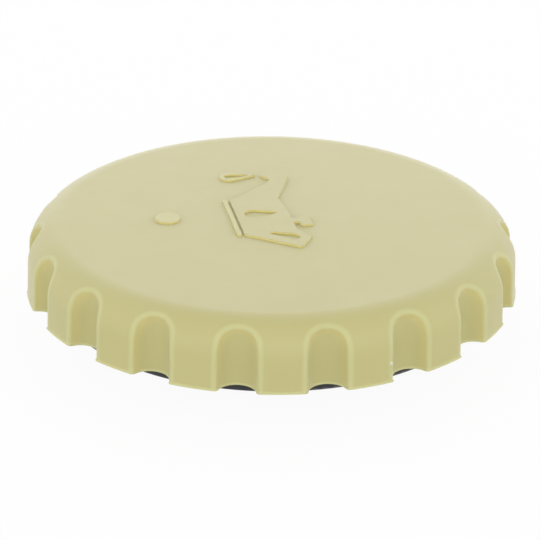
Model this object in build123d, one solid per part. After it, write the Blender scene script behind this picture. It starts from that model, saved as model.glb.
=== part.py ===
from build123d import *
from math import asin, degrees, radians, sin
import os

# An oil filler cap: a fluted grip cover snapped over a bayonet closure body, with a
# rubber ring that seals the filler neck. Millimetres, +Z up the cap's own axis, the
# front at -Y, and the origin in the middle of the neck's end face, on which it stands.

# Grip cover, as moulded: outside form
rim_radius = 44.85
cover_height = 12.45
crown_rise = 0.15
shoulder_radius = 6.2
side_draft = 0.4

# Low flare all round the cover's lower edge
lip_proud = 0.15
lip_root = 0.15
lip_height = 0.9

# Finger flutes round the cover's side
flute_count = 18
flute_phase = 2.8
flute_radius = 3.6
flute_depth = 3.2
flute_top_drop = 3.4
flute_edge_round = 0.7

# Cover walls, and the pockets that core out the lobes between the flutes
side_wall = 1.85
top_wall = 2.2
pocket_depth = 3.0
pocket_height = 6.0
pocket_wall = 1.7
pocket_round = 0.8

# Closure body: the skirt that shows below the cover, the flange and its ribs
skirt_drop = 2.45
skirt_wall = 2.2
skirt_round = 0.6
flange_level = 3.0
flange_thickness = 2.2
rib_thickness = 1.6
collar_wall = 2.0

# Neck that enters the filler, with its seal groove and bayonet lugs
neck_radius = 22.0
neck_wall = 2.8
neck_drop = 9.0
neck_round = 0.5
groove_depth = 1.1
lug_count = 3
lug_angle = 90.0
lug_reach = 3.2
lug_thickness = 3.2
lug_span = 36.0
lug_lead = 1.0
stop_width = 2.4
stop_height = 3.0

# Sealing ring
seal_section = 3.5

# Snap beads and drive dogs that hold the cover on the body
bead_count = 6
bead_depth = 0.6
bead_height = 1.4
bead_level = 0.8
bead_span = 10.0
dog_count = 6
dog_width = 3.0
dog_length = 8.0
dog_height = 3.4

# Clearances
cover_gap = 0.2
lid_gap = 0.1
snap_gap = 0.15
dog_gap = 0.15
seal_gap = 0.03
groove_play = 0.15

# Levels and radii that follow from these
rim_level = neck_drop
top_level = rim_level + cover_height
ceiling_level = top_level - top_wall
cavity_radius = rim_radius - flute_depth - side_wall
skirt_radius = cavity_radius - cover_gap
flange_under = rim_level + flange_level
flange_top = flange_under + flange_thickness
skirt_top = ceiling_level - lid_gap
flute_axis_radius = rim_radius - flute_depth + flute_radius
front_angle = -90.0 + flute_phase
lobe_pitch = 360.0 / flute_count
groove_radius = neck_radius - groove_depth
seal_radius = groove_radius + seal_gap + seal_section / 2
seal_level = flange_under - seal_gap - seal_section / 2
groove_level = seal_level - seal_section / 2 - groove_play
bead_low = rim_level + bead_level
snap_radius = cavity_radius - bead_depth - snap_gap
snap_low = bead_low - snap_gap
snap_high = bead_low + bead_height + snap_gap
dog_middle_radius = (neck_radius + skirt_radius - skirt_wall) / 2


def turned(outline, rounds=()):
    """Revolve a closed outline of (radius, height) points, after rounding some of them."""
    face = make_face(Plane.XZ * Polyline(*outline, close=True))
    for (radius, height), size in rounds:
        corner = face.vertices().sort_by_distance((radius, 0, height))[0]
        face = fillet(corner, size)
    return revolve(face, Axis.Z)


def around(shape, count, first_angle):
    """Copies of a shape spaced evenly about the cap's axis."""
    return [Rot(0, 0, first_angle + k * 360.0 / count) * shape for k in range(count)]


def flutes():
    """Upright round-nosed cutters for the finger flutes."""
    nose_level = top_level - flute_top_drop
    length = nose_level - rim_level + flute_radius
    shank = Cylinder(flute_radius, length, align=(Align.CENTER, Align.CENTER, Align.MAX))
    cutter = Pos(flute_axis_radius, 0, nose_level) * (shank + Sphere(flute_radius))
    return around(cutter, flute_count, front_angle + lobe_pitch / 2)


def lobe_pockets():
    """Cutters that hollow the lobes between the flutes from below."""
    wall_angle = degrees(asin((flute_radius + pocket_wall) / flute_axis_radius))
    half_width = cavity_radius * sin(radians(lobe_pitch / 2 - wall_angle))
    plan = RectangleRounded(2 * pocket_depth, 2 * half_width, pocket_round)
    cutter = Pos(cavity_radius, 0, rim_level) * extrude(plan, pocket_height)
    return around(cutter, flute_count, front_angle)


def snap_beads():
    """Ring segments with a ramped underside, inside the cover's wall at every third flute."""
    root = cavity_radius + side_wall / 2
    tip = cavity_radius - bead_depth
    high = bead_low + bead_height
    outline = [(root, bead_low), (cavity_radius, bead_low), (tip, high - bead_height / 3),
               (tip, high), (root, high)]
    face = make_face(Plane.XZ * Polyline(*outline, close=True))
    bead = Rot(0, 0, -bead_span / 2) * revolve(face, Axis.Z, bead_span)
    return around(bead, bead_count, front_angle + lobe_pitch / 2)


def drive_dogs():
    """Tabs under the cover's ceiling that turn the body through its pairs of ribs."""
    tab = Box(dog_length, dog_width, dog_height, align=(Align.CENTER, Align.CENTER, Align.MAX))
    return around(Pos(dog_middle_radius, 0, ceiling_level) * tab, dog_count, front_angle)


def cover_blank():
    """The cover's outside as a solid disc: crowned top, round shoulder and fluted side."""
    edge = (rim_radius - side_draft, top_level - crown_rise)
    crown_radius = (edge[0] ** 2 + crown_rise ** 2) / (2 * crown_rise)
    lines = Polyline((0, top_level), (0, rim_level), (rim_radius, rim_level), edge)
    lines += RadiusArc(edge, (0, top_level), -crown_radius)
    face = make_face(Plane.XZ * lines)
    corner = face.vertices().sort_by_distance((edge[0], 0, edge[1]))[0]
    disc = revolve(fillet(corner, shoulder_radius), Axis.Z)
    cutters = flutes()
    fluted = disc - cutters
    on_rim = fluted.edges().filter_by(lambda e: abs(e.center().Z - rim_level) < 0.01)
    arrises = new_edges(disc, *cutters, combined=fluted) - on_rim
    return fillet(arrises, flute_edge_round)


def rim_lip():
    """A thin disc with the blank's fluted outline: wider than the blank below, inside it above."""
    top = rim_level + lip_height
    low_radius = rim_radius + lip_proud
    disc = turned([(0, rim_level), (low_radius, rim_level), (rim_radius - lip_root, top), (0, top)])
    cone = Cone(flute_radius - lip_proud, flute_radius + lip_root, lip_height,
                align=(Align.CENTER, Align.CENTER, Align.MIN))
    cutters = around(Pos(flute_axis_radius, 0, rim_level) * cone, flute_count,
                     front_angle + lobe_pitch / 2)
    lip = disc - cutters
    corners = new_edges(disc, *cutters, combined=lip).filter_by_position(
        Axis.Z, rim_level + lip_height / 4, top - lip_height / 4)
    return fillet(corners, flute_edge_round)


def grip_cover():
    cover = cover_blank() + rim_lip()
    cavity = Cylinder(cavity_radius, ceiling_level, align=(Align.CENTER, Align.CENTER, Align.MIN))
    cover -= [cavity] + lobe_pockets()
    return cover + snap_beads() + drive_dogs()


def lugs():
    """Bayonet lugs at the neck's end: ramped tops that tighten clockwise, and a stop behind each."""
    root = neck_radius - neck_wall / 2
    tip = neck_radius + lug_reach
    outline = [(root, 0), (tip, 0), (tip, lug_thickness), (root, lug_thickness)]
    blank = revolve(make_face(Plane.XZ * Polyline(*outline, close=True)), Axis.Z, lug_span)
    length = tip * radians(lug_span)
    slope = degrees(asin(lug_lead / length))
    above = Box(4 * lug_reach, 2 * length, lug_thickness, align=(Align.CENTER, Align.MAX, Align.MIN))
    lug = Rot(0, 0, -lug_span / 2) * blank
    lug -= Pos(tip, length / 2, lug_thickness) * Rot(slope, 0, 0) * above
    stop_size = (lug_reach + neck_wall / 2, stop_width, lug_thickness + stop_height)
    stop = Pos(tip, 0, 0) * Box(*stop_size, align=(Align.MAX, Align.MAX, Align.MIN))
    return around(lug + Rot(0, 0, lug_span / 2) * stop, lug_count, lug_angle)


def rib_pairs():
    """Radial ribs on the flange, in pairs that hold the cover's drive dogs."""
    inner = neck_radius - collar_wall / 2
    outer = skirt_radius - skirt_wall / 2
    size = (outer - inner, rib_thickness, skirt_top - flange_top)
    rib = Box(*size, align=(Align.MIN, Align.MIN, Align.MIN))
    offset = dog_width / 2 + dog_gap
    pair = Pos(inner, offset, flange_top) * rib + Pos(inner, -offset - rib_thickness, flange_top) * rib
    return around(pair, dog_count, front_angle)


def closure_body():
    skirt_low = rim_level - skirt_drop
    skirt_inner = skirt_radius - skirt_wall
    neck_inner = neck_radius - neck_wall
    collar_inner = neck_radius - collar_wall
    outline = [
        (0, flange_under), (neck_inner, flange_under), (neck_inner, 0), (neck_radius, 0),
        (neck_radius, groove_level), (groove_radius, groove_level), (groove_radius, flange_under),
        (skirt_inner, flange_under), (skirt_inner, skirt_low), (skirt_radius, skirt_low),
        (skirt_radius, snap_low), (snap_radius, snap_low), (snap_radius, snap_high),
        (skirt_radius, snap_high), (skirt_radius, skirt_top), (skirt_inner, skirt_top),
        (skirt_inner, flange_top),
        (neck_radius, flange_top), (neck_radius, skirt_top), (collar_inner, skirt_top),
        (collar_inner, flange_top), (0, flange_top),
    ]
    rounds = [((neck_radius, 0), neck_round), ((neck_inner, 0), neck_round),
              ((skirt_radius, skirt_low), skirt_round), ((skirt_inner, skirt_low), skirt_round)]
    return turned(outline, rounds) + lugs() + rib_pairs()


def sealing_ring():
    return Pos(0, 0, seal_level) * Torus(seal_radius, seal_section / 2)


os.makedirs("parts", exist_ok=True)
for build in (grip_cover, closure_body, sealing_ring):
    export_step(build(), f"parts/{build.__name__}.step")
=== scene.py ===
import math

import bmesh
import bpy
from mathutils import Matrix, Vector
from mathutils.geometry import tessellate_polygon

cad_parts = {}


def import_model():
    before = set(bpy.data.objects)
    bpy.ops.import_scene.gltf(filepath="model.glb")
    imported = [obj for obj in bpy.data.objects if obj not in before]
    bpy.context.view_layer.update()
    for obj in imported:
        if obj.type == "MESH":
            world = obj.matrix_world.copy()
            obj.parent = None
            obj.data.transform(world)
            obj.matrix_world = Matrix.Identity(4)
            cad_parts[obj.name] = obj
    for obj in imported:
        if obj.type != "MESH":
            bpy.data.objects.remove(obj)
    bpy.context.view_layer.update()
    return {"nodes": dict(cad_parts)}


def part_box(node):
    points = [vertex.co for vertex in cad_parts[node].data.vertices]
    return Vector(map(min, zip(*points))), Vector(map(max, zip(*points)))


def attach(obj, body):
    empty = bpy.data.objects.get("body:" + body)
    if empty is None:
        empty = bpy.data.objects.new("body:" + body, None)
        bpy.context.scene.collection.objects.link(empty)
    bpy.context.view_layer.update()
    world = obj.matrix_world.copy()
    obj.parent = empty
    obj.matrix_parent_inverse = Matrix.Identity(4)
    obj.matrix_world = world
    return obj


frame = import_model()

# A millimetre, in metres
MM = 0.001

# Levels of the cover, read from the frame, and the radius of its crowned top
COVER_LOW, COVER_HIGH = (Vector(corner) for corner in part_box("grip_cover"))
RIM_LEVEL = COVER_LOW.z
TOP_LEVEL = COVER_HIGH.z
CROWN_RADIUS = 6586.0 * MM

# Where the cover's flutes and shoulder lie, for the painted highlight and glow along their edges
FLUTE_COUNT = 18
FLUTE_PITCH = 2 * math.pi / FLUTE_COUNT
FLUTE_ANGLE = math.radians(-77.2)
FLUTE_AXIS_RADIUS = 45.25 * MM
FLUTE_NOSE_LEVEL = TOP_LEVEL - 3.4 * MM
SHOULDER_RADIUS = 6.35 * MM
SHOULDER_CENTRE_RADIUS = 38.25 * MM
SHOULDER_CENTRE_LEVEL = TOP_LEVEL - SHOULDER_RADIUS

# Camera, as fitted to the photograph
CAMERA_DISTANCE = 508.7 * MM
CAMERA_ELEVATION = math.radians(25.56)
CAMERA_PAN = math.radians(0.027)
CAMERA_TILT = math.radians(0.2205)
CAMERA_ROLL = math.radians(0.74)
CAMERA_REACH = (0.01, 20.0)
LENS_MM = 183.77
SENSOR_MM = 36.0

# Strength of the tent at the horizon and overhead, of the floor as a light, and of both as seen
HORIZON_LIGHT = 2.7
ZENITH_LIGHT = 0.0
FLOOR_LIGHT = 0.3
SEEN_LIGHT = 1.0

# The floor's half width in metres, and how much darker its deepest shadow may get
FLOOR_HALF_WIDTH = 3.0
FLOOR_SHADOW_DEPTH = 0.06

# Soft panels: place, width and height in metres, and power in watts
PANELS = {
    "back_panel": ((0.0, 1.6, 0.8), 1.8, 0.8, 2.4),
    "front_panel": ((0.0, -1.7, 0.6), 2.4, 0.6, 1.7),
}

# Creams of the cover, as linear red, green and blue: plain, mottled, painted highlight, painted glow in
# flutes
CREAM = (0.545, 0.505, 0.222)
CREAM_MOTTLE = (0.535, 0.492, 0.213)
# Painted highlight, on the arrises and along the lower edge
PAINTED_HIGHLIGHT_CREAM = (0.586, 0.568, 0.262)
# Painted warm glow, inside the flutes close under the cover's outer surface
FLUTE_GLOW_CREAM = (0.618, 0.545, 0.221)

# Creams: painted light on walls of raised and of sunk figures, painted highlight of narrow figures,
# torn flash
LIT_WALL_CREAM = (0.600, 0.520, 0.195)
LIT_HOLLOW_CREAM = (0.670, 0.580, 0.205)
# Painted highlight over the narrow figures' tops
LINE_HIGHLIGHT_CREAM = (0.585, 0.555, 0.255)
TORN_CREAM = (0.66, 0.64, 0.47)

# Blacks of the body and of the seal, plain and mottled, and the white of the studio
BODY_BLACK = (0.017, 0.017, 0.019)
BODY_MOTTLE = (0.013, 0.013, 0.015)
SEAL_BLACK = (0.016, 0.016, 0.017)
SEAL_MOTTLE = (0.022, 0.022, 0.023)
WHITE = (1.0, 1.0, 1.0)

# Whitish bloom of the cover's moulding skin, seen at a flat angle
COVER_SPECULAR = 0.5
COVER_SHEEN = 0.45
COVER_SHEEN_ROUGHNESS = 0.4

# Bands in which the painted highlight and glow rise and fall, as distances from a flute's axis
ARRIS_RISE = (3.55 * MM, 3.75 * MM)
ARRIS_FALL = (4.9 * MM, 4.1 * MM)
FLUTE_WALL_FALL = (3.7 * MM, 3.62 * MM)

# The same, as a height over the rim and as a depth under the cover's outer surface
LOWER_EDGE_FALL = (0.6 * MM, 0.2 * MM)
THIN_EDGE_FALL = (2.1 * MM, 0.5 * MM)

# How far a surface points up where it stops being a wall, and where it is all wall
WALL_SLOPES = (0.85, 0.35)

# Texture of each moulding: scale of its mottle, range of its roughness, and scale of its grain
CREAM_TEXTURE = (90.0, (0.46, 0.54), 2600.0)
BODY_TEXTURE = (120.0, (0.36, 0.48), 2600.0)
SEAL_TEXTURE = (200.0, (0.52, 0.66), 4000.0)

# What the textures share: the range that most of a noise lies in, its detail, and the grain's depth
NOISE_RANGE = (0.3, 0.7)
MOTTLE_DETAIL = 3.0
FINE_DETAIL = 2.0
GLOSS_TO_MOTTLE = 3
GRAIN_STRENGTH = 0.5
GRAIN_DEPTH = 0.02 * MM

# Sockets of a Mix node that mixes colours
MIX_FACTOR, MIX_LOW, MIX_HIGH, MIX_RESULT = 0, 6, 7, 2

# Section of the raised figures on the cover's top, in millimetres
RELIEF_HEIGHT = 0.4
RELIEF_SINK = 0.1
RELIEF_DRAFT = 0.06
RELIEF_ROUND = 0.16
ROUND_STEPS = 5

# Corners of their outlines: radius in millimetres, and the most of a side that an arc may take
RELIEF_CORNER = 0.32
CORNER_SHARE = 0.45

# Half angle past which a corner counts as smooth, and the least cosine that an inset divides by
SMOOTH_HALF_ANGLE = math.radians(80.0)
LEAST_COSINE = 0.5

# The oil can, in millimetres, in a frame of its own that is turned on the cover
CAN_PLACE = (-2.88, 2.57)
CAN_TURN = -78.6
CAN_BODY = [(-6.2, -4.0), (-6.2, -3.1), (-12.2, 3.8), (-14.1, 5.1), (-16.6, 3.5), (-17.6, 4.9),
            (-15.6, 8.2), (-14.7, 8.9), (-5.4, 5.1), (0.8, 5.9), (3.8, 5.8), (3.8, 6.85), (3.2, 6.9),
            (3.2, 9.2), (7.35, 9.2), (7.35, 6.9), (5.9, 6.85), (6.1, 5.8), (8.7, 6.0), (12.3, 7.9),
            (16.5, 5.2), (9.6, -4.0)]
CAN_HANDLE = [(9.0, -0.4), (10.9, 5.2), (12.0, 5.8), (13.3, 4.7)]
CAN_BASE = [(-6.2, -5.25), (-6.2, -4.35), (9.7, -4.35), (9.7, -5.25)]

# Drops in the can's frame: foot's middle and radius, lean and height of the point, swell of the sides
SPOUT_DROP = (Vector((-16.7, -2.1)), 1.85, 0.1, 5.2, 0.1)
SPOUT_DROP_HOLE = (Vector((-16.7, -2.1)), 0.75, -0.05, 3.8, 0.05)
SIDE_DROP = (Vector((1.0, -0.7)), 1.6, 0.0, 4.4, 0.12)

# Arc of a drop's foot, in degrees, and how finely a drop is drawn
DROP_FOOT_START = -190
DROP_FOOT_SWEEP = 200
DROP_FOOT_STEPS = 24
DROP_SIDE_STEPS = 9

# The round button beside the can, in millimetres
BUTTON_MIDDLE = Vector((-19.0, -0.6))
BUTTON_RADIUS = 2.4
BUTTON_STEPS = 48

# A crumb of flash on one arris: its place, half size outwards, sideways and upwards, and its taper
NIB_ANGLE = math.radians(-62.4)
NIB_RADIUS = 44.55 * MM
NIB_LEVEL = 12.5 * MM
NIB_SIZE = Vector((0.30, 0.36, 0.60)) * MM
NIB_TAPER = 0.3
NIB_SUBDIVISIONS = 3


def camera():
    """Aim at the middle of the cover's rim plane, then pan, tilt and roll a little."""
    data = bpy.data.cameras.new("camera")
    data.lens = LENS_MM
    data.sensor_width = SENSOR_MM
    data.clip_start, data.clip_end = CAMERA_REACH
    away = Vector((0, -math.cos(CAMERA_ELEVATION), math.sin(CAMERA_ELEVATION)))
    place = Matrix.Translation(away * CAMERA_DISTANCE + Vector((0, 0, RIM_LEVEL)))
    aim = Matrix.Rotation(math.pi / 2 - CAMERA_ELEVATION, 4, "X")
    pan = Matrix.Rotation(CAMERA_PAN, 4, "Y")
    tilt = Matrix.Rotation(CAMERA_TILT, 4, "X")
    roll = Matrix.Rotation(CAMERA_ROLL, 4, "Z")
    item = bpy.data.objects.new("camera", data)
    item.matrix_world = place @ aim @ pan @ tilt @ roll
    bpy.context.collection.objects.link(item)
    bpy.context.scene.camera = item


def rounded(corners, radius):
    """A closed outline with each sharp corner replaced by an arc."""
    points = []
    count = len(corners)
    for index, corner in enumerate(corners):
        here = Vector(corner)
        back = Vector(corners[index - 1]) - here
        ahead = Vector(corners[(index + 1) % count]) - here
        half = back.angle(ahead) / 2
        if half > SMOOTH_HALF_ANGLE:
            points.append(here)
            continue
        reach = min(radius / math.tan(half), CORNER_SHARE * back.length, CORNER_SHARE * ahead.length)
        size = reach * math.tan(half)
        centre = here + (back.normalized() + ahead.normalized()).normalized() * (size / math.sin(half))
        start = here + back.normalized() * reach - centre
        end = here + ahead.normalized() * reach - centre
        swing = start.angle_signed(end)
        for step in range(ROUND_STEPS + 1):
            points.append(centre + Matrix.Rotation(-swing * step / ROUND_STEPS, 2) @ start)
    return points


def signed_area(outline):
    return sum(a.x * b.y - b.x * a.y for a, b in zip(outline, outline[1:] + outline[:1])) / 2


def wound(outline, hole):
    """The outline with material on its left: outer outlines run anticlockwise, holes clockwise."""
    if (signed_area(outline) > 0) == hole:
        return outline[::-1]
    return outline


def inset(outline, distance):
    """Each point moved into the material on the outline's left."""
    moved = []
    count = len(outline)
    for index, point in enumerate(outline):
        before = (point - outline[index - 1]).normalized()
        after = (outline[(index + 1) % count] - point).normalized()
        left = Vector((-before.y, before.x))
        middle = (left + Vector((-after.y, after.x))).normalized()
        moved.append(point + middle * (distance / max(middle.dot(left), LEAST_COSINE)))
    return moved


def on_can(point):
    """From the can's own frame to the cap's plan, in millimetres."""
    return Vector(CAN_PLACE) + Matrix.Rotation(math.radians(CAN_TURN), 2) @ point


def lifted(point, height):
    """A plan point in millimetres, at a height over the crowned top, in metres."""
    x, y = point.x * MM, point.y * MM
    return Vector((x, y, TOP_LEVEL - (x * x + y * y) / (2 * CROWN_RADIUS) + height * MM))


def relief_profile():
    """Inset and height of each ring of a figure's wall, from its sunk foot over its rounded edge."""
    profile = [(0.0, -RELIEF_SINK), (RELIEF_DRAFT, RELIEF_HEIGHT - RELIEF_ROUND)]
    for step in range(1, ROUND_STEPS + 1):
        angle = math.pi / 2 * step / ROUND_STEPS
        profile.append((RELIEF_DRAFT + RELIEF_ROUND * (1 - math.cos(angle)),
                        RELIEF_HEIGHT - RELIEF_ROUND * (1 - math.sin(angle))))
    return profile


def wall(build, outline, material_index):
    """A drafted wall along an outline; returns its lowest and highest ring of points."""
    rings = []
    for depth, height in relief_profile():
        rings.append([build.verts.new(lifted(point, height)) for point in inset(outline, depth)])
    count = len(outline)
    for low, high in zip(rings, rings[1:]):
        for here in range(count):
            ahead = (here + 1) % count
            face = build.faces.new((low[here], low[ahead], high[ahead], high[here]))
            face.smooth = True
            face.material_index = material_index
    return rings[0], rings[-1]


def fill(build, loops, facing_down):
    """Flat triangles between an outer ring of points and the rings of its holes."""
    verts = [vert for loop in loops for vert in loop]
    flat = [[Vector((vert.co.x, vert.co.y, 0)) for vert in loop] for loop in loops]
    for triangle in tessellate_polygon(flat):
        corners = [verts[k] for k in triangle]
        normal = (corners[1].co - corners[0].co).cross(corners[2].co - corners[0].co)
        if (normal.z > 0) == facing_down:
            corners.reverse()
        build.faces.new(corners)


def cap_piece(name, build, materials):
    """Turn a modelled mesh into a piece of the cap that is finished as its cover is."""
    mesh = bpy.data.meshes.new(name)
    build.to_mesh(mesh)
    build.free()
    for material in materials:
        mesh.materials.append(material)
    item = bpy.data.objects.new(name, mesh)
    bpy.context.collection.objects.link(item)
    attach(item, "root")


def relief(name, outer, holes, materials):
    """A raised figure, seated in the cover's top; its second material is for the walls of holes."""
    build = bmesh.new()
    bottoms, tops = [], []
    for index, outline in enumerate([outer] + holes):
        is_hole = index > 0
        bottom, top = wall(build, wound(outline, is_hole), int(is_hole))
        bottoms.append(bottom)
        tops.append(top)
    fill(build, tops, False)
    fill(build, bottoms, True)
    cap_piece(name, build, materials)


def drop(foot, radius, lean, height, swell):
    """A hanging drop: a round foot under a long point."""
    line = []
    for step in range(DROP_FOOT_STEPS + 1):
        angle = math.radians(DROP_FOOT_SWEEP * step / DROP_FOOT_STEPS + DROP_FOOT_START)
        line.append(foot + radius * Vector((math.cos(angle), math.sin(angle))))
    point = foot + Vector((lean, height))
    shares = [step / DROP_SIDE_STEPS for step in range(1, DROP_SIDE_STEPS)]
    swells = [Vector((swell * math.sin(math.pi * share), 0)) for share in shares]
    rise = [line[-1].lerp(point, share) + out for share, out in zip(shares, swells)]
    fall = [point.lerp(line[0], share) - out for share, out in zip(shares, swells)]
    return line + rise + [point] + fall


def circle(middle, radius, steps):
    turns = (Matrix.Rotation(2 * math.pi * k / steps, 2) for k in range(steps))
    return [middle + turn @ Vector((radius, 0)) for turn in turns]


def reliefs():
    """The oil can with its base bar and drop, and the button beside it."""
    # Figures' walls carry painted light; the narrow figures a painted highlight
    broad = relief_material("cream_figure_lit_walls", CREAM, LIT_WALL_CREAM)
    narrow = relief_material("cream_line_highlight", LINE_HIGHLIGHT_CREAM, LIT_WALL_CREAM)
    hollow = relief_material("cream_hollow_lit_walls", CREAM, LIT_HOLLOW_CREAM)

    def placed(outline):
        return [on_can(point) for point in rounded(outline, RELIEF_CORNER)]

    relief("oil_can", placed(CAN_BODY), [placed(CAN_HANDLE), placed(drop(*SIDE_DROP))], (broad, hollow))
    relief("oil_can_base", placed(CAN_BASE), [], (narrow, hollow))
    relief("oil_drop", placed(drop(*SPOUT_DROP)), [placed(drop(*SPOUT_DROP_HOLE))], (narrow, hollow))
    relief("round_button", circle(BUTTON_MIDDLE, BUTTON_RADIUS, BUTTON_STEPS), [], (narrow, hollow))


def nib():
    """A crumb of flash, sunk by half into one of the flutes' arrises."""
    build = bmesh.new()
    bmesh.ops.create_icosphere(build, subdivisions=NIB_SUBDIVISIONS, radius=1.0)
    middle = Vector((math.cos(NIB_ANGLE) * NIB_RADIUS, math.sin(NIB_ANGLE) * NIB_RADIUS, NIB_LEVEL))
    turn = Matrix.Rotation(NIB_ANGLE, 3, "Z")
    for vert in build.verts:
        taper = 1 - NIB_TAPER * vert.co.z
        vert.co = middle + turn @ (Vector((vert.co.x * taper, vert.co.y * taper, vert.co.z)) * NIB_SIZE)
    for face in build.faces:
        face.smooth = True
    cap_piece("flash_nib", build, [cream_moulding("torn_flash", TORN_CREAM)])


def socket(node, name, value):
    node.inputs[name].default_value = value


def opaque(colour):
    return (*colour, 1)


def shader_of(material):
    return material.node_tree.nodes["Principled BSDF"]


def new_material(name):
    material = bpy.data.materials.new(name)
    material.use_nodes = True
    return material


def calc(tree, operation, *values):
    """One step of arithmetic on sockets and numbers."""
    node = tree.nodes.new("ShaderNodeMath")
    node.operation = operation
    for value, entry in zip(values, node.inputs):
        if isinstance(value, bpy.types.NodeSocket):
            tree.links.new(value, entry)
        else:
            entry.default_value = value
    return node.outputs[0]


def length_of(tree, *parts):
    """The length of a vector whose parts are sockets."""
    vector = tree.nodes.new("ShaderNodeCombineXYZ")
    for part, entry in zip(parts, vector.inputs):
        tree.links.new(part, entry)
    length = tree.nodes.new("ShaderNodeVectorMath")
    length.operation = "LENGTH"
    tree.links.new(vector.outputs[0], length.inputs[0])
    return length.outputs["Value"]


def carried(tree, source, reach, low=0.0, high=1.0, interpolation="LINEAR"):
    """A value carried from its own reach to the range from low to high."""
    change = tree.nodes.new("ShaderNodeMapRange")
    change.interpolation_type = interpolation
    socket(change, "From Min", reach[0])
    socket(change, "From Max", reach[1])
    socket(change, "To Min", low)
    socket(change, "To Max", high)
    tree.links.new(source, change.inputs["Value"])
    return change.outputs["Result"]


def ramp(tree, source, band, level=0.0):
    """0 at the band's first value and 1 at its second, with a soft change, above a level."""
    return carried(tree, source, (level + band[0], level + band[1]), interpolation="SMOOTHSTEP")


def noise(tree, place, scale, detail):
    """A noise in the object's own metres, so its grain has a real size."""
    texture = tree.nodes.new("ShaderNodeTexNoise")
    socket(texture, "Scale", scale)
    socket(texture, "Detail", detail)
    tree.links.new(place, texture.inputs["Vector"])
    return texture.outputs["Fac"]


def colour_mix(tree, factor, high_colour):
    """A node that mixes towards a colour; its low colour is still to be set."""
    mix = tree.nodes.new("ShaderNodeMix")
    mix.data_type = "RGBA"
    mix.inputs[MIX_HIGH].default_value = opaque(high_colour)
    tree.links.new(factor, mix.inputs[MIX_FACTOR])
    return mix


def moulding(name, colour, mottle_colour, mottle_scale, roughness, grain_scale):
    """Moulded material: slightly mottled colour, uneven gloss and a fine spark-eroded grain."""
    material = new_material(name)
    tree, shader = material.node_tree, shader_of(material)
    place = tree.nodes.new("ShaderNodeTexCoord").outputs["Object"]
    mottle = noise(tree, place, mottle_scale, MOTTLE_DETAIL)
    mix = colour_mix(tree, carried(tree, mottle, NOISE_RANGE), mottle_colour)
    mix.inputs[MIX_LOW].default_value = opaque(colour)
    tree.links.new(mix.outputs[MIX_RESULT], shader.inputs["Base Color"])
    gloss = noise(tree, place, mottle_scale * GLOSS_TO_MOTTLE, FINE_DETAIL)
    tree.links.new(carried(tree, gloss, NOISE_RANGE, *roughness), shader.inputs["Roughness"])
    bump = tree.nodes.new("ShaderNodeBump")
    socket(bump, "Strength", GRAIN_STRENGTH)
    socket(bump, "Distance", GRAIN_DEPTH)
    tree.links.new(noise(tree, place, grain_scale, FINE_DETAIL), bump.inputs["Height"])
    tree.links.new(bump.outputs["Normal"], shader.inputs["Normal"])
    return material


def tinted(material, mask, colour):
    """Turn the base colour to another one where the mask is 1."""
    tree = material.node_tree
    base = shader_of(material).inputs["Base Color"]
    mix = colour_mix(tree, mask, colour)
    tree.links.new(base.links[0].from_socket, mix.inputs[MIX_LOW])
    tree.links.new(mix.outputs[MIX_RESULT], base)


def cream_moulding(name, colour):
    """The cover's plastic: a soft gloss with a whitish bloom at flat angles."""
    mottle_colour = tuple(c * mottle / cream for c, mottle, cream in zip(colour, CREAM_MOTTLE, CREAM))
    material = moulding(name, colour, mottle_colour, *CREAM_TEXTURE)
    shader = shader_of(material)
    socket(shader, "Specular IOR Level", COVER_SPECULAR)
    socket(shader, "Sheen Weight", COVER_SHEEN)
    socket(shader, "Sheen Roughness", COVER_SHEEN_ROUGHNESS)
    return material


def flute_masks(tree):
    """Masks from the place on the cap: painted highlight on arrises and lower edge, painted glow at
    flutes' thin edges.
    """
    split = tree.nodes.new("ShaderNodeSeparateXYZ")
    tree.links.new(tree.nodes.new("ShaderNodeTexCoord").outputs["Object"], split.inputs[0])
    x, y, z = split.outputs
    radius = length_of(tree, x, y)

    # Distance from the axis of the nearest flute, or from the centre of its round nose
    turned = calc(tree, "SUBTRACT", calc(tree, "ARCTAN2", y, x), FLUTE_ANGLE - FLUTE_PITCH / 2)
    offset = calc(tree, "SUBTRACT", calc(tree, "FLOORED_MODULO", turned, FLUTE_PITCH), FLUTE_PITCH / 2)
    along = calc(tree, "MULTIPLY", radius, calc(tree, "COSINE", offset))
    outward = calc(tree, "SUBTRACT", along, FLUTE_AXIS_RADIUS)
    aside = calc(tree, "MULTIPLY", radius, calc(tree, "SINE", offset))
    upward = calc(tree, "MAXIMUM", calc(tree, "SUBTRACT", z, FLUTE_NOSE_LEVEL), 0.0)
    distance = length_of(tree, outward, aside, upward)
    # Painted highlight: a band along each arris, and another along the lower edge
    arris = calc(tree, "MULTIPLY", ramp(tree, distance, ARRIS_RISE), ramp(tree, distance, ARRIS_FALL))
    painted_highlight = calc(tree, "MAXIMUM", arris, ramp(tree, z, LOWER_EDGE_FALL, RIM_LEVEL))

    # Depth under the cover's outer surface: its side, and the round shoulder above it
    past_centre = calc(tree, "SUBTRACT", radius, SHOULDER_CENTRE_RADIUS)
    over_centre = calc(tree, "MAXIMUM", calc(tree, "SUBTRACT", z, SHOULDER_CENTRE_LEVEL), 0.0)
    depth = calc(tree, "SUBTRACT", SHOULDER_RADIUS, length_of(tree, past_centre, over_centre))
    # Painted warm glow: inside the flutes, close under the cover's outer surface
    flute_wall = ramp(tree, distance, FLUTE_WALL_FALL)
    painted_glow = calc(tree, "MULTIPLY", ramp(tree, depth, THIN_EDGE_FALL), flute_wall)
    return painted_highlight, painted_glow


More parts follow.
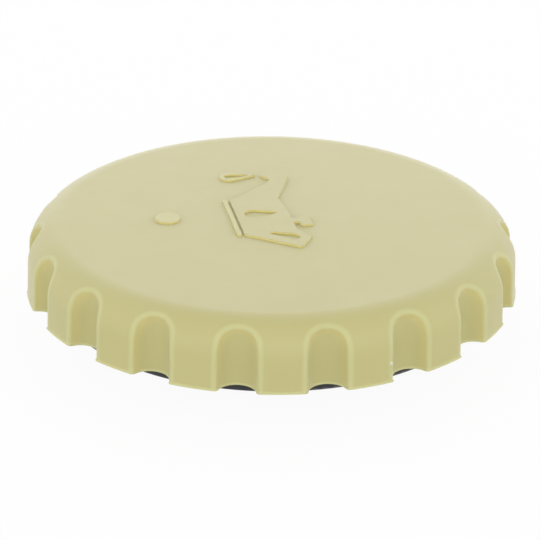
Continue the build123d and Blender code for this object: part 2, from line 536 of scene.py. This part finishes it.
def cover_material():
    """The cover's plastic, with painted highlight on arrises and lower edge and painted warm glow at
    flutes' thin edges.
    """
    material = cream_moulding("cream_moulding", CREAM)
    painted_highlight, painted_glow = flute_masks(material.node_tree)
    tinted(material, painted_glow, FLUTE_GLOW_CREAM)
    tinted(material, painted_highlight, PAINTED_HIGHLIGHT_CREAM)
    return material


def relief_material(name, colour, lit_wall_colour):
    """The cover's plastic, with painted light on the steep walls, lighter and warmer, as light through
    the thin edge.
    """
    material = cream_moulding(name, colour)
    tree = material.node_tree
    split = tree.nodes.new("ShaderNodeSeparateXYZ")
    tree.links.new(tree.nodes.new("ShaderNodeNewGeometry").outputs["True Normal"], split.inputs[0])
    # Painted light: steep walls lighter and warmer than the tops
    tinted(material, ramp(tree, split.outputs["Z"], WALL_SLOPES), lit_wall_colour)
    return material


def dress(node, material):
    item = frame["nodes"][node]
    item.data.materials.clear()
    item.data.materials.append(material)
    for face in item.data.polygons:
        face.material_index = 0


def seen_directly(tree):
    """1 for rays that see the surface itself, straight or in a reflection; 0 for light."""
    paths = tree.nodes.new("ShaderNodeLightPath")
    seen = paths.outputs["Is Camera Ray"]
    for ray in ("Is Glossy Ray", "Is Transmission Ray"):
        seen = calc(tree, "MAXIMUM", seen, paths.outputs[ray])
    return seen


def seen_or_light(tree, light, seen, output):
    """Give an output one shader for rays that see it, and another for light."""
    mix = tree.nodes.new("ShaderNodeMixShader")
    tree.links.new(seen_directly(tree), mix.inputs[0])
    tree.links.new(light.outputs[0], mix.inputs[1])
    tree.links.new(seen.outputs[0], mix.inputs[2])
    tree.links.new(mix.outputs[0], output)


def world():
    """A light tent, brighter round the horizon than overhead, and plain white where it is seen."""
    studio = bpy.data.worlds.new("studio")
    studio.use_nodes = True
    bpy.context.scene.world = studio
    tree = studio.node_tree
    tree.nodes.clear()
    split = tree.nodes.new("ShaderNodeSeparateXYZ")
    tree.links.new(tree.nodes.new("ShaderNodeTexCoord").outputs["Generated"], split.inputs[0])
    level = carried(tree, split.outputs["Z"], (0.0, 1.0), HORIZON_LIGHT, ZENITH_LIGHT)
    light = tree.nodes.new("ShaderNodeBackground")
    socket(light, "Color", opaque(WHITE))
    tree.links.new(level, light.inputs["Strength"])
    white = tree.nodes.new("ShaderNodeBackground")
    socket(white, "Color", opaque(WHITE))
    socket(white, "Strength", SEEN_LIGHT)
    output = tree.nodes.new("ShaderNodeOutputWorld")
    seen_or_light(tree, light, white, output.inputs[0])


def panel(name, place, width, height, power):
    """A soft lamp, aimed at the cap."""
    data = bpy.data.lights.new(name, "AREA")
    data.shape = "RECTANGLE"
    data.size = width
    data.size_y = height
    data.energy = power
    item = bpy.data.objects.new(name, data)
    item.location = place
    item.rotation_euler = (-Vector(place)).to_track_quat("-Z", "Y").to_euler()
    bpy.context.collection.objects.link(item)


def floor():
    """A white floor: where it is seen it keeps a faint shadow, and it lights the cap from below."""
    mesh = bpy.data.meshes.new("floor")
    half = FLOOR_HALF_WIDTH
    corners = [(-half, -half, 0), (half, -half, 0), (half, half, 0), (-half, half, 0)]
    mesh.from_pydata(corners, [], [(0, 1, 2, 3)])
    item = bpy.data.objects.new("floor", mesh)
    bpy.context.collection.objects.link(item)
    material = new_material("pale_floor")
    shader = shader_of(material)
    socket(shader, "Base Color", opaque([FLOOR_SHADOW_DEPTH * part for part in WHITE]))
    socket(shader, "Roughness", 1.0)
    socket(shader, "Specular IOR Level", 0.0)
    socket(shader, "Emission Color", opaque(WHITE))
    socket(shader, "Emission Strength", SEEN_LIGHT - FLOOR_SHADOW_DEPTH)
    tree = material.node_tree
    light = tree.nodes.new("ShaderNodeEmission")
    socket(light, "Strength", FLOOR_LIGHT)
    seen_or_light(tree, light, shader, tree.nodes["Material Output"].inputs["Surface"])
    mesh.materials.append(material)


camera()
world()
floor()
for panel_name, panel_form in PANELS.items():
    panel(panel_name, *panel_form)
dress("grip_cover", cover_material())
dress("closure_body", moulding("black_moulding", BODY_BLACK, BODY_MOTTLE, *BODY_TEXTURE))
dress("sealing_ring", moulding("seal_rubber", SEAL_BLACK, SEAL_MOTTLE, *SEAL_TEXTURE))
reliefs()
nib()
bpy.context.scene.view_settings.view_transform = "Standard"
